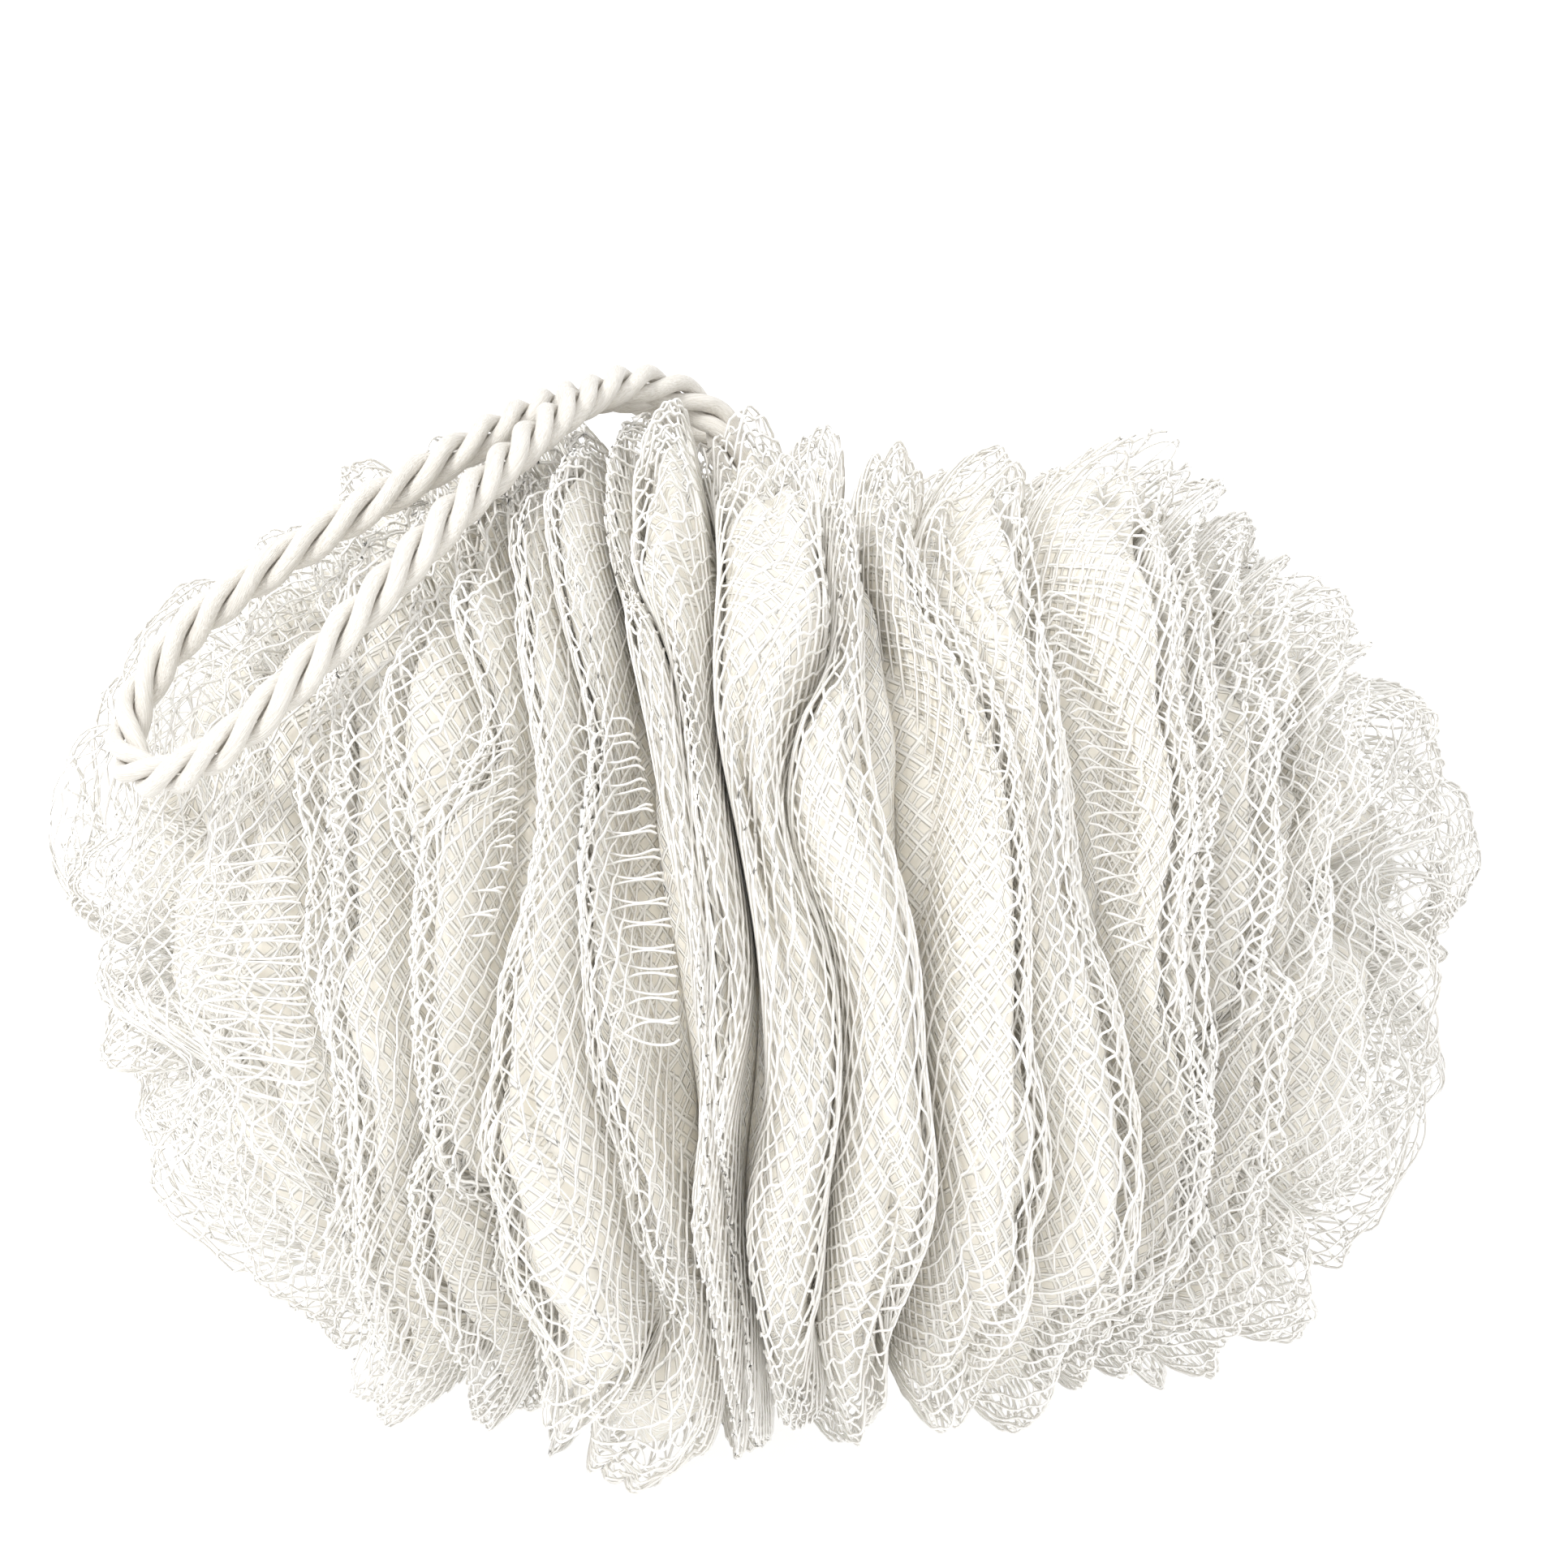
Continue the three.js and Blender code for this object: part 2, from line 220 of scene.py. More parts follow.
# ------------------------------------------------------------------ mesh helpers
def mesh_object(name, verts, quads, mat, attribute=None):
    """An object from an (n, 3) array in millimetres and an (m, 4) array of corner numbers."""
    me = bpy.data.meshes.new(name)
    verts = np.ascontiguousarray(verts, np.float32) * np.float32(MM)
    quads = np.ascontiguousarray(quads, np.int32)
    me.vertices.add(len(verts))
    me.vertices.foreach_set("co", verts.ravel())
    me.loops.add(quads.size)
    me.loops.foreach_set("vertex_index", quads.ravel())
    me.polygons.add(len(quads))
    me.polygons.foreach_set("loop_start", np.arange(0, quads.size, 4, dtype=np.int32))
    me.polygons.foreach_set("use_smooth", np.ones(len(quads), bool))
    me.update(calc_edges=True)
    if attribute is not None:
        at = me.attributes.new("lay", "FLOAT_VECTOR", "POINT")
        at.data.foreach_set("vector", np.ascontiguousarray(attribute, np.float32).ravel())
    me.materials.append(mat)
    ob = bpy.data.objects.new(name, me)
    bpy.context.scene.collection.objects.link(ob)
    return ob


def catmull(points, step):
    """Even steps along a centripetal Catmull-Rom line through the points."""
    p = np.asarray(points, float)
    p = np.vstack([2 * p[0] - p[1], p, 2 * p[-1] - p[-2]])
    out = []
    for i in range(1, len(p) - 2):
        a, b, c, d = p[i - 1:i + 3]
        t0 = 0.0
        t1 = t0 + max(np.linalg.norm(b - a), 1e-6) ** 0.5
        t2 = t1 + max(np.linalg.norm(c - b), 1e-6) ** 0.5
        t3 = t2 + max(np.linalg.norm(d - c), 1e-6) ** 0.5
        t = np.linspace(t1, t2, 24, endpoint=False)[:, None]
        A1 = (t1 - t) / (t1 - t0) * a + (t - t0) / (t1 - t0) * b
        A2 = (t2 - t) / (t2 - t1) * b + (t - t1) / (t2 - t1) * c
        A3 = (t3 - t) / (t3 - t2) * c + (t - t2) / (t3 - t2) * d
        B1 = (t2 - t) / (t2 - t0) * A1 + (t - t0) / (t2 - t0) * A2
        B2 = (t3 - t) / (t3 - t1) * A2 + (t - t1) / (t3 - t1) * A3
        out.append((t2 - t) / (t2 - t1) * B1 + (t - t1) / (t2 - t1) * B2)
    q = np.vstack(out + [p[-2][None]])
    s = np.concatenate([[0], np.cumsum(np.linalg.norm(np.diff(q, axis=0), axis=1))])
    n = max(2, int(round(s[-1] / step)))
    at = np.linspace(0, s[-1], n + 1)
    return np.stack([np.interp(at, s, q[:, k]) for k in range(3)], 1)


def frames(path):
    """Tangent and two sideways directions along a path, without twist."""
    t = np.gradient(path, axis=0)
    t /= np.linalg.norm(t, axis=1, keepdims=True)
    u = np.zeros_like(t)
    start = np.cross(t[0], [0.31, 0.2, 0.93])
    u[0] = start / np.linalg.norm(start)
    for i in range(1, len(t)):
        w = u[i - 1] - t[i] * (u[i - 1] @ t[i])
        u[i] = w / np.linalg.norm(w)
    return t, u, np.cross(t, u)


def twisted(path, diameter, pitch, strands=3, sides=10, fullness=1.09, fuzz=0.0, seed=3, taper=False):
    """Vertices, quads and lay coordinates of a rope of twisted strands along a path."""
    rng = np.random.RandomState(seed)
    t, u, v = frames(path)
    s = np.concatenate([[0], np.cumsum(np.linalg.norm(np.diff(path, axis=0), axis=1))])
    outer = diameter / 2
    rs = outer / (1 + 2 / math.sqrt(3)) * fullness if strands == 3 else outer * 0.52
    rc = outer - rs
    turn = -2 * math.pi * s / pitch
    V, Q, L = [], [], []
    base = 0
    for k in range(strands):
        a = turn + 2 * math.pi * k / strands
        wob = 1 + fuzz * np.interp(s, np.linspace(0, s[-1], 40), rng.randn(40))
        c = path + rc * (np.cos(a)[:, None] * u + np.sin(a)[:, None] * v)
        ct, cu, cv = frames(c)
        r = rs * wob
        if taper:
            r = r * (1 - np.clip((s - s[-1] + 2.0) / 2.4, 0, 1) * 0.6)
        ang = np.linspace(0, 2 * math.pi, sides, endpoint=False)
        ring = c[:, None] + r[:, None, None] * (
            np.cos(ang)[None, :, None] * cu[:, None] + np.sin(ang)[None, :, None] * cv[:, None])
        n = len(path)
        V.append(ring.reshape(-1, 3))
        lay = np.zeros((n, sides, 3))
        # a closed circle in the first and third numbers, so that the grooves have no seam
        lay[:, :, 0] = np.cos(ang + 0.0)[None] * 0.5 + (s * 0.11)[:, None] + k * 7.3
        lay[:, :, 1] = s[:, None] * 0.35
        lay[:, :, 2] = np.sin(ang)[None] * 0.5 * 20
        L.append(lay.reshape(-1, 3))
        i = np.arange(n - 1)[:, None] * sides
        j = np.arange(sides)[None]
        j2 = (j + 1) % sides
        q = np.stack([i + j, i + j2, i + sides + j2, i + sides + j], -1).reshape(-1, 4) + base
        Q.append(q)
        # flat ends
        for first, flip in ((0, True), ((n - 1) * sides, False)):
            mid = len(ring.reshape(-1, 3)) + base
            h = sides // 2
            for g in range(1, h):
                quad = [first + g, first + g + 1 if g + 1 <= h else first + h, first + sides - g - 1, first + sides - g]
                quad = [x % (n * sides) for x in quad]
                if first == 0 and g + 1 > h:
                    continue
                if len(set(quad)) == 4:
                    Q.append(np.array([quad[::-1] if flip else quad]) + base)
        base += n * sides
    return np.vstack(V), np.vstack(Q), np.vstack(L)


def polar(x, r, deg):
    a = math.radians(deg)
    return np.array([x, -r * math.sin(a), ZC + r * math.cos(a)])


# ------------------------------------------------------------------ rope
KNOT_ANGLE = -29.5
LOOP_LIE = [
    [-6.3, 22.7, 107.3], [-8.0, 23.3, 109.0], [-10.9, 22.7, 111.2], [-15.3, 18.9, 113.5],
    [-18.7, 13.6, 114.4], [-21.4, 7.9, 114.6], [-23.8, 2.0, 114.4], [-26.4, -3.8, 113.7],
    [-29.2, -9.3, 112.5], [-32.3, -14.6, 110.7], [-35.7, -19.3, 108.3], [-39.4, -23.5, 105.3],
    [-43.5, -26.9, 101.8], [-47.8, -29.5, 97.9], [-52.4, -30.9, 93.8], [-57.3, -30.6, 89.9],
    [-62.1, -28.0, 87.0], [-65.6, -23.0, 86.8], [-65.9, -17.7, 89.6], [-63.3, -14.2, 93.9],
    [-59.0, -12.7, 98.3], [-54.0, -12.0, 102.1], [-48.7, -11.0, 105.4], [-43.4, -9.1, 108.3],
    [-38.3, -6.1, 110.5], [-33.8, -2.1, 112.2], [-29.8, 2.8, 113.1], [-26.4, 8.1, 113.3],
    [-23.5, 13.8, 112.8], [-20.8, 19.5, 111.8], [-18.1, 25.1, 110.5], [-15.0, 30.2, 108.4],
    [-10.8, 33.7, 105.3], [-8.0, 34.0, 103.0], [-6.3, 33.1, 101.4],
]


def run_points(s):
    """From the knot outwards to the loop's root on side s."""
    pts = []
    for r, w in [(22.6, 0), (28, 0.45), (34, 0.72), (40, 0.88), (46.5, 0.97)]:
        foot = 6.1
        x = -4.75 * (r - 9) / 45.3
        pts.append(polar(x, r, KNOT_ANGLE + s * (foot + (6.0 - foot) * w)))
    return pts


ROPE_POINTS = run_points(1) + LOOP_LIE + run_points(-1)[::-1]
rope_line = catmull(ROPE_POINTS, 0.6)
v, q, l = twisted(rope_line, 4.4, 16.2, sides=14, fullness=0.93, fuzz=0.03)
rope = mesh_object("rope_with_loop", v, q, ROPE_MAT, l)
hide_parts("hanging_loop", "rope_run_a", "rope_run_b")

turn_line = catmull([polar(-0.73, 16.0, KNOT_ANGLE + 17.0 + 326.0 * i / 40) for i in range(41)], 0.6)
v, q, l = twisted(turn_line, 4.4, 16.2, sides=10, fullness=0.93, seed=5)
turn = mesh_object("rope_round_waist", v, q, ROPE_MAT, l)
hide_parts("rope_waist_turn")

knot_pts = []
for i in range(49):
    a = 2 * math.pi * i / 48
    rr = 0.62 + 0.38 * math.cos(3 * a)
    w = np.array([2.0 * math.sin(3 * a), 4.4 * rr * math.cos(2 * a), 2.6 * rr * math.sin(2 * a)])
    up = np.array([0, math.sin(math.radians(-KNOT_ANGLE)), math.cos(math.radians(-KNOT_ANGLE))])
    side = np.array([0, math.cos(math.radians(-KNOT_ANGLE)), -math.sin(math.radians(-KNOT_ANGLE))])
    knot_pts.append(polar(-1.07, 19.3, KNOT_ANGLE) + w[0] * np.array([1.0, 0, 0]) * 0.5 + w[1] * side + w[2] * up)
knot_line = catmull(knot_pts, 0.5)
v, q, l = twisted(knot_line, 3.6, 11.0, sides=8, seed=9)
knot = mesh_object("rope_knot_wound", v, q, ROPE_MAT, l)
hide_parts("rope_knot")

tails = []
for name, s in (("rope_end_a", 1), ("rope_end_b", -1)):
    pts = []
    for tt, nn in [(5.6, 18.9), (7.4, 19.2), (11.5, 20.4), (15.5, 23.0), (18.6, 26.8), (20.6, 31.4)]:
        r = math.hypot(tt, nn)
        a = KNOT_ANGLE + s * math.degrees(math.atan2(tt, nn))
        pts.append(polar(-4.75 * (r - 9) / 45.3, r, a))
    v, q, l = twisted(catmull(pts, 0.6), 4.3, 16.2, sides=8, fullness=0.93, seed=12 + s, taper=True)
    ob = mesh_object(name, v, q, ROPE_MAT, l)
    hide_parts("rope_tail_a" if s == 1 else "rope_tail_b")
    tails.append(ob)

bind_line = np.array([polar(-2.1 + 4.2 * a / (4 * 360.0), 10.6, 150 + a) for a in np.linspace(0, 4 * 360, 4 * 90)])
v, q, l = twisted(bind_line, 1.35, 3.4, strands=2, sides=6, seed=21)
binding = mesh_object("binding_turns", v, q, CORD_MAT, l)
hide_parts("binding_cord")
bk = []
for i in range(25):
    a = 2 * math.pi * i / 24
    bk.append(polar(-0.4 + 1.1 * math.sin(2 * a), 12.7 + 0.25 * math.sin(3 * a), 150 + math.degrees(1.5 * math.cos(a) / 12.7)))
v, q, l = twisted(catmull(bk, 0.25), 1.0, 2.6, strands=2, sides=6, seed=22)
bknot = mesh_object("binding_knot_wound", v, q, CORD_MAT, l)
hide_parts("binding_knot")
for name, s, node in (("binding_end_a", 1, "binding_tail_a"), ("binding_end_b", -1, "binding_tail_b")):
    pts = [polar(-0.4 + 0.25 * s * i, 12.95, 150 + s * (9.0 + 6.8 * i)) for i in range(7)]
    v, q, l = twisted(catmull(pts, 0.3), 1.2, 3.0, strands=2, sides=6, seed=23)
    ob = mesh_object(name, v, q, CORD_MAT, l)
    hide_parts(node)
    tails.append(ob)

# everything the netting has to lie round: centreline points and the radius kept clear
OBSTACLES = [(rope_line[::3], 2.2), (turn_line[::3], 2.2)]


# ------------------------------------------------------------------ netting
rng = np.random.RandomState(20)
NPHI = 960
PHI = np.arange(NPHI) * 2 * np.pi / NPHI
DEG = np.degrees(PHI)


def smooth(values, degrees_sigma):
    """Circular Gaussian smoothing over the angle."""
    f = np.fft.rfft(values, axis=-1)
    k = np.arange(f.shape[-1])
    return np.fft.irfft(f * np.exp(-0.5 * (k * math.radians(degrees_sigma)) ** 2), n=values.shape[-1], axis=-1)


def around(nodes, values, sigma=9.0):
    """Values given at some angles in degrees, joined all the way round."""
    nodes = np.asarray(nodes, float)
    order = np.argsort(nodes % 360)
    n, w = (nodes % 360)[order], np.asarray(values, float)[order]
    n = np.concatenate([[n[-1] - 360], n, [n[0] + 360]])
    w = np.concatenate([[w[-1]], w, [w[0]]])
    return smooth(np.interp(DEG, n, w), sigma)


def noise(cycles_lo, cycles_hi, r=None):
    """Random smooth closed wave with unit spread."""
    r = r or rng
    out = np.zeros(NPHI)
    for c in range(cycles_lo, cycles_hi + 1):
        out += r.randn() * np.cos(c * PHI) + r.randn() * np.sin(c * PHI)
    return out / (out.std() + 1e-9)


def bell(centre, sigma):
    """A smooth hill round one angle in degrees."""
    d = (DEG - centre + 180) % 360 - 180
    return np.exp(-0.5 * (d / sigma) ** 2)


def outline(x):
    return HALF_R * (1 - np.minimum(np.abs(x) / HALF_X, 0.99999) ** FULL) ** (1 / FULL)


def meridian(psi):
    return (np.abs(np.cos(psi) / HALF_X) ** FULL + np.abs(np.sin(psi) / HALF_R) ** FULL) ** (-1 / FULL)


def psi_at(x):
    return np.arctan2(outline(x), -x)


# where the eleven valleys between the twelve ruffles lie along the waist, in mm, at angles
# round it from over the top (-22) across the front to the underside (158) and the back
NODES = [-22, 8, 38, 68, 98, 128, 158, 205, 248, 292]
VALLEYS = np.array([
    [-57.8, -47.3, -36.8, -28.0, -18.8, -9.5, 8.3, 29.9, 47.7, 57.0, 65.6],
    [-59.1, -49.0, -38.9, -29.3, -19.3, -7.4, 9.2, 29.8, 46.4, 56.0, 65.2],
    [-64.3, -53.8, -42.4, -28.4, -17.9, -8.6, 15.3, 36.1, 47.3, 56.0, 65.2],
    [-67.8, -55.1, -42.0, -31.1, -13.6, -1.8, 16.6, 38.0, 45.5, 54.5, 64.3],
    [-63.0, -49.0, -42.5, -36.0, -10.5, -5.0, 18.5, 43.5, 50.5, 57.5, 64.8],
    [-57.8, -47.3, -38.5, -27.1, -5.5, -0.9, 14.2, 32.4, 42.9, 51.6, 61.3],
    [-56.9, -47.3, -38.5, -27.6, -8.0, -0.9, 14.2, 30.6, 41.1, 50.8, 60.4],
    [-62.1, -50.3, -38.5, -27.1, -16.2, -5.3, 8.8, 22.3, 35.0, 47.3, 59.5],
    [-62.1, -50.3, -38.5, -27.1, -16.2, -5.3, 8.8, 22.3, 35.0, 47.3, 59.5],
    [-62.1, -50.3, -38.5, -27.1, -16.2, -5.3, 8.8, 22.3, 35.0, 47.3, 59.5],
])
VALLEYS[7:] += rng.randn(3, 11) * 1.0
bounds_x = np.array([around(NODES, VALLEYS[:, k], 8.0) for k in range(11)])
# valleys that stand open: which, angle, spread, half width
OPENINGS = [(1, 40, 14, 1.6), (2, 62, 10, 2.2), (3, 54, 10, 3.0), (4, 59, 14, 3.4), (5, 84, 7, 1.6), (4, 84, 7, 2.0),
            (6, 42, 13, 5.6), (7, 42, 17, 4.8), (8, 66, 16, 1.4), (7, 96, 8, 2.2), (3, 118, 12, 1.6),
            (6, 112, 12, 1.4), (9, 40, 16, 1.2), (10, 60, 20, 1.2)]
open_x = np.full((11, NPHI), 0.55)
for k_, a_, s_, w_ in OPENINGS:
    open_x[k_] += w_ * bell(a_, s_)
for k_ in range(11):
    open_x[k_] += 0.5 * np.clip(noise(3, 9), 0, 2) * (1 - bell(68, 60))
PSI_B = np.vstack([np.full(NPHI, 0.03), psi_at(bounds_x), np.full(NPHI, np.pi - 0.03)])
PSI_LEFT_OF = np.vstack([PSI_B[0], psi_at(bounds_x - open_x), PSI_B[-1]])
PSI_RIGHT_OF = np.vstack([PSI_B[0], psi_at(bounds_x + open_x), PSI_B[-1]])

# how far each crest reaches, against the plain outline, at the same angles
REACH = np.array([
    [1.08, 1.06, 1.00, 0.98, 0.99, 0.97, 0.93, 0.98, 0.99, 1.02],
    [1.04, 1.02, 0.98, 1.00, 0.99, 0.95, 0.92, 0.96, 0.98, 1.02],
    [1.05, 1.03, 0.99, 0.96, 0.98, 0.99, 0.99, 0.96, 0.98, 1.02],
    [1.06, 1.05, 1.00, 0.99, 0.93, 0.94, 0.96, 0.97, 0.97, 1.02],
    [1.06, 1.05, 0.98, 0.97, 0.99, 1.01, 1.02, 0.98, 0.98, 1.02],
    [1.05, 1.03, 0.95, 0.97, 0.96, 0.95, 0.94, 1.00, 0.97, 1.01],
    [1.02, 1.03, 1.03, 0.98, 1.00, 0.95, 0.90, 0.97, 0.97, 0.99],
    [0.98, 0.97, 0.98, 0.99, 1.02, 0.95, 0.87, 0.95, 0.97, 0.98],
    [1.07, 1.05, 1.00, 0.99, 0.95, 0.92, 0.89, 0.95, 0.97, 1.01],
    [1.02, 1.00, 0.99, 0.98, 0.97, 0.96, 0.95, 0.96, 0.97, 1.00],
    [1.01, 1.00, 0.98, 0.97, 0.97, 0.98, 0.99, 0.98, 0.97, 0.99],
    [1.03, 1.00, 0.97, 0.96, 0.97, 0.97, 0.95, 0.98, 0.98, 1.00],
])

CALM = [0.5, 0.72, 0.9, 1, 1, 1, 1, 1, 0.95, 0.85, 0.68, 0.5]
common = noise(3, 8)
SWAY = [0.65 * common + 0.35 * noise(4, 11) for _ in range(13)]


def profile(rows, cap_from, round_cap, neck=0.15):
    """(share of the way out, position across the sector) from neck over the crest to neck, in uneven rows that are closest on the crest."""
    g = np.linspace(-1, 1, rows)
    g = np.sign(g) * np.abs(g) ** 1.3          # closer rows near the crest
    th = g * math.pi / 2 / 0.46
    lam, s = np.empty(rows), np.empty(rows)
    for i, x in enumerate(th):
        if abs(x) <= math.pi / 2:
            lam[i] = cap_from + (1 - cap_from) * math.cos(x) ** round_cap
            s[i] = math.sin(x)
        else:
            w = (abs(x) - math.pi / 2) / (math.pi / 2 / 0.46 - math.pi / 2)
            lam[i] = cap_from - (cap_from - neck) * w
            s[i] = math.copysign(1 - 0.55 * w ** 1.5, x)
    return lam, s


# each ruffle is folded once more along its length into two petals, whose shares of its
# width change round the waist: ruffle, angle, spread, share of the left petal
SHARES = [(6, 22, 20, 0.78), (6, 88, 24, 0.46), (4, 50, 18, 0.62), (4, 105, 16, 0.66), (7, 36, 26, 0.42),
          (8, 0, 22, 0.78), (8, 62, 22, 0.5), (5, 75, 12, 0.3), (5, 110, 14, 0.75), (7, 100, 20, 0.52), (2, 70, 20, 0.4)]
share = []
for k_ in range(12):
    f_ = 0.5 + 0.22 * noise(2, 6)
    for kk, a_, s_, v_ in SHARES:
        if kk == k_:
            f_ = f_ + (v_ - f_) * bell(a_, s_)
    share.append(np.clip(f_, 0.2, 0.8))


def sector_grid(k, rows, inset, seed, drop=0.0, cap_from=0.80, round_cap=0.64, rough=1.0, opened=True, neck=0.15, petal=None):
    """Grid of points (rows, NPHI, 3) of one ruffle's surface, or of one of its two petals."""
    r = np.random.RandomState(seed)
    lam, s = profile(rows, cap_from, round_cap, neck)
    lam, s = lam[:, None], s[:, None]
    a0, b0 = PSI_B[k], PSI_B[k + 1]
    a = (PSI_RIGHT_OF[k] if opened else a0) + (SWAY[k] * 0.010 if k > 0 else 0)
    b = (PSI_LEFT_OF[k + 1] if opened else b0) + (SWAY[k + 1] * 0.010 if k < 11 else 0)
    if petal is not None:
        w_ = share[k] if petal == 0 else 1 - share[k]
        cut, cut0 = a + share[k] * (b - a), a0 + share[k] * (b0 - a0)
        over = -0.01 * (b - a)
        a, b = (a, cut + over) if petal == 0 else (cut - over, b)
        a0, b0 = (a0, cut0 + over) if petal == 0 else (cut0 - over, b0)
        t_ = np.clip((w_ - 0.22) / 0.3, 0, 1)
        drop = drop + 0.11 * (1 - t_ * t_ * (3 - 2 * t_)) * (1 - 0.85 * bell(-18, 26))
    rough = rough * CALM[k]                    # the outer ruffles lie in smoother, wider lobes
    grow = np.clip((lam - 0.3) / 0.7, 0, 1) ** 1.3
    lo_, hi_ = a0 + (a - a0) * grow, b0 + (b - b0) * grow
    mid, half = (lo_ + hi_) / 2, (hi_ - lo_) / 2
    lean = 0.34 * noise(2, 5, r)[None] * np.clip((lam - 0.5) / 0.5, 0, 1)
    sl = s * (0.97 - inset) + lean * (1 - s ** 2) * 0.7
    psi = mid + sl * half
    reach = around(NODES, REACH[k], 8.0)[None]
    if k == 6:
        reach = reach - 0.10 * bell(-7, 7)[None]      # the middle petal ends in an arch below the top
    crest = np.clip((lam - 0.5) / 0.5, 0, 1)
    scallop = 0.010 * noise(6, 18, r)[None]
    groove = np.clip(noise(2, 6, r), 0, 2)[None] * 0.04 * np.exp(-((s - 0.3 * noise(1, 3, r)[None]) / 0.25) ** 2)
    # pleats that run along the crest, one for about every six millimetres of width, so that
    # they fan out where the ruffle widens
    wide = half * 50.0
    lane = s * wide / (3.1 + 2.4 * (1 - CALM[k])) + 0.7 * noise(1, 3, r)[None] + 0.16 * noise(5, 11, r)[None]
    depth = 0.03 + 0.075 * np.clip((wide - 3.5) / 5.0, 0, 1)
    pleats = depth * (np.abs(np.sin(math.pi * lane / 2)) ** 0.7 - 0.74) * np.clip(0.85 + 0.35 * noise(2, 6, r), 0.25, 1.4)[None]
    pleats = pleats + 0.004 * np.sin(17.0 * s + 2.6 * noise(1, 5, r)[None])
    # finer gathers between the pleats, in some places only
    fine = s * wide / 1.35 + 0.9 * noise(1, 4, r)[None] + 0.2 * noise(6, 14, r)[None]
    gathers = 0.027 * np.clip((wide - 1.8) / 2.2, 0, 1) * np.clip(0.6 + 0.6 * noise(2, 7, r), 0, 1.5)[None]
    pleats = pleats + gathers * (np.abs(np.sin(math.pi * fine / 2)) ** 0.8 - 0.68)
    out = lam * (reach + (scallop - groove + pleats) * crest * rough - 0.02) * (1 - drop)
    ph, ph2 = noise(7, 18, r)[None], noise(7, 18, r)[None]
    psi = psi + half * 0.055 * rough * grow * (ph * np.cos(lam * 7) + ph2 * np.sin(lam * 7)) * (1 - np.abs(s) ** 4)
    rho = meridian(psi) * out
    x = -rho * np.cos(psi)
    rr = rho * np.sin(psi)
    y = -rr * np.sin(PHI)[None]
    z = ZC + rr * np.cos(PHI)[None]
    return np.stack([x, y, z], -1)


def clear(points):
    """Moves points out of the rope's way, more the closer they are, without folding the surface."""
    flat = points.reshape(-1, 3)
    for line, radius in OBSTACLES:
        near, far = radius + 0.45, radius + 4.5
        loc, hic = line.min(0) - far, line.max(0) + far
        pick = np.where(((flat > loc) & (flat < hic)).all(1))[0]
        for c in range(0, len(pick), 20000):
            ids = pick[c:c + 20000]
            d = flat[ids][:, None] - line[None]
            dist2 = (d ** 2).sum(-1)
            j = dist2.argmin(1)
            dd = np.sqrt(dist2[np.arange(len(ids)), j])
            hit = dd < far
            if hit.any():
                v_ = d[np.arange(len(ids)), j][hit]
                want = near + dd[hit] / far * (far - near)
                flat[ids[hit]] += v_ / np.maximum(dd[hit], 1e-6)[:, None] * (want - dd[hit])[:, None]
    return flat.reshape(points.shape)


def settle(p):
    """The underside pressed flat on what it rests on."""
    z = p[..., 2]
    p[..., 2] = 0.45 + 1.1 * np.logaddexp(0, (z - 0.45) / 1.1)
    return p


def grid_normals(g):
    du = np.gradient(g, axis=0)
    dv = (np.roll(g, -1, axis=1) - np.roll(g, 1, axis=1)) / 2
    n = np.cross(du, dv)
    return n / np.maximum(np.linalg.norm(n, axis=-1, keepdims=True), 1e-9)


def tubes(P, N, rad):
    """Three-sided tubes along many lines at once: P (lines, points, 3), N a sideways direction."""
    T = np.gradient(P, axis=1)
    T /= np.maximum(np.linalg.norm(T, axis=-1, keepdims=True), 1e-9)
    B = np.cross(T, N)
    B /= np.maximum(np.linalg.norm(B, axis=-1, keepdims=True), 1e-9)
    N = np.cross(B, T)
    ring = [P + rad * 1.15 * (math.cos(a) * B + math.sin(a) * N) for a in (math.pi / 2, math.pi * 7 / 6, math.pi * 11 / 6)]
    ring = np.stack(ring, 2)
    lines, points = P.shape[:2]
    c = np.arange(lines)[:, None, None] * points * 3
    m = np.arange(points - 1)[None, :, None] * 3
    j = np.arange(3)[None, None]
    j2 = (j + 1) % 3
    return ring.reshape(-1, 3), np.stack([c + m + j, c + m + j2, c + m + 3 + j2, c + m + 3 + j], -1).reshape(-1, 4)


def arc_rows(g):
    s = np.concatenate([[0], np.cumsum(np.linalg.norm(np.diff(g, axis=0), axis=-1).mean(1))])
    return s - s.mean()


